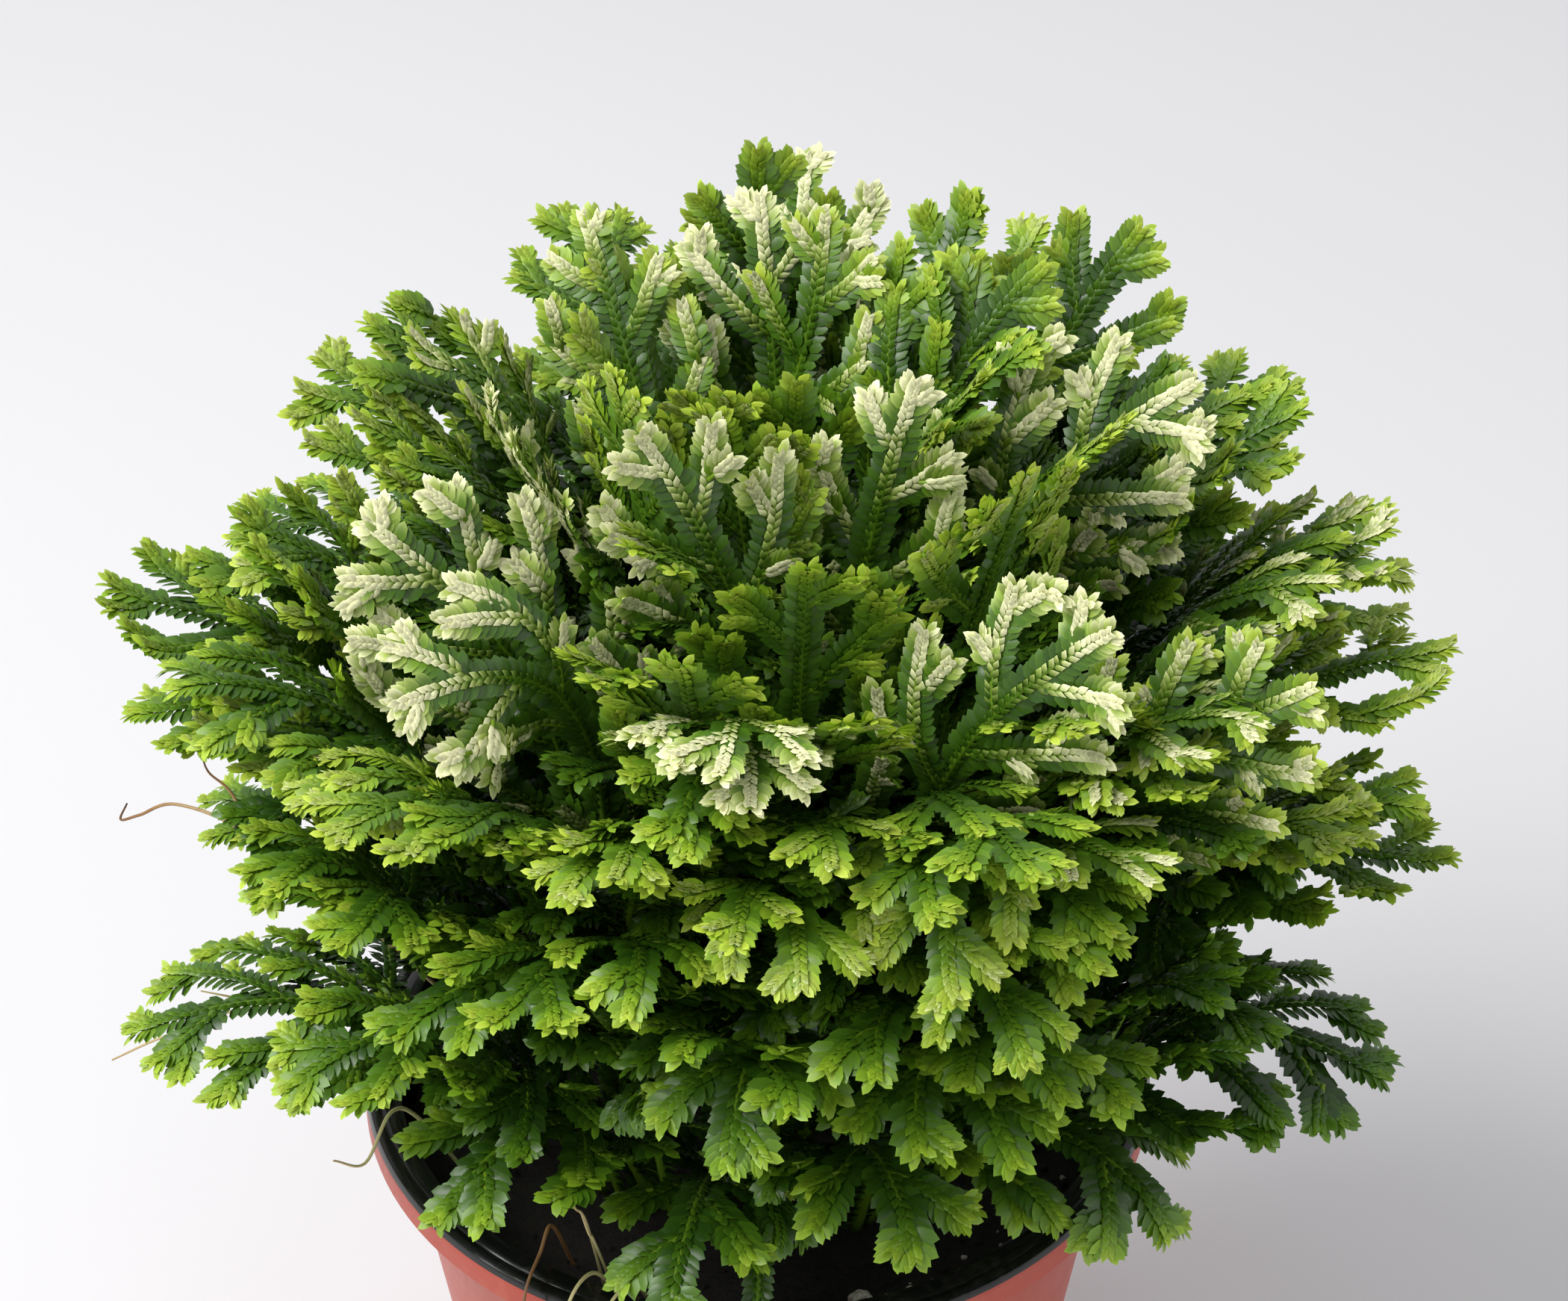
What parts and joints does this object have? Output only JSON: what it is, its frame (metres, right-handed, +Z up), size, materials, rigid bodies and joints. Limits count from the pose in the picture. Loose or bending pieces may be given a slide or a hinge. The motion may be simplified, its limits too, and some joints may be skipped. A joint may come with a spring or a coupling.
{
  "type": "potted frosted spikemoss",
  "caption": "Bushy frosted spikemoss, sold as a frosty fern, in a thin tapered nursery pot with a rolled rim; it stands on the pot's flat base.",
  "frame": {"origin": "centre of the pot's base, on the surface it stands on", "axes": "+Z up along the pot's axis; -Y is the plant's front and +X its right, seen from the front"},
  "size_m": [0.1877, 0.1688, 0.2245],
  "materials": {
    "moulded_plastic": "brick red outside, glossy black inside and on the rolled rim",
    "peat": "dark crumbly peat, matt",
    "foliage": "waxy scale leaves, dark green to lime and cream white at the tips",
    "aerial_root": "tan, darker at the tips",
    "perlite": "pale crumbly grains, matt",
    "dry_leaf": "dry tan leaf, matt"
  },
  "bodies": {
    "root": {"pot": "moulded_plastic", "potting_mix": "peat", "shoot_crown_back": "foliage", "shoot_crown_frost": "foliage", "shoot_crown_right": "foliage", "shoot_crown_left": "foliage", "shoot_upper_right": "foliage", "shoot_centre_frost": "foliage", "shoot_centre_top": "foliage", "shoot_centre_fan": "foliage", "shoot_top_right": "foliage", "shoot_arch_right": "foliage", "shoot_lime_front": "foliage", "shoot_green_front": "foliage", "shoot_braid_front": "foliage", "shoot_frost_right": "foliage", "shoot_right_high": "foliage", "shoot_right_cream": "foliage", "shoot_right_mid": "foliage", "shoot_right_low": "foliage", "shoot_right_open_fan": "foliage", "shoot_front_right": "foliage", "shoot_front_right_low": "foliage", "shoot_droop_right": "foliage", "shoot_droop_front": "foliage", "shoot_front_cream": "foliage", "shoot_droop_left": "foliage", "shoot_droop_left_rim": "foliage", "shoot_lime_left": "foliage", "shoot_edge_left": "foliage", "shoot_centre_green": "foliage", "shoot_frost_left": "foliage", "shoot_frost_left_low": "foliage", "shoot_left_fan": "foliage", "shoot_left_high_green": "foliage", "shoot_far_left": "foliage", "shoot_far_left_cream": "foliage", "shoot_left_open_fan": "foliage", "shoot_left_rim": "foliage", "shoot_back_high": "foliage", "shoot_back_high_right": "foliage", "shoot_back_middle": "foliage", "shoot_back_left": "foliage", "shoot_back_low_middle": "foliage", "shoot_back_low_right": "foliage", "shoot_back_side_right": "foliage", "shoot_back_droop_middle": "foliage", "shoot_back_side_left": "foliage", "root_left_curl": "aerial_root", "root_left_straight": "aerial_root", "root_rim_left": "aerial_root", "root_front_brown": "aerial_root", "root_front_pale": "aerial_root", "trailing_shoot": "foliage", "perlite_grain_1": "perlite", "perlite_grain_2": "perlite", "perlite_grain_3": "perlite", "dry_scrap": "dry_leaf"}
  },
  "joints": []
}
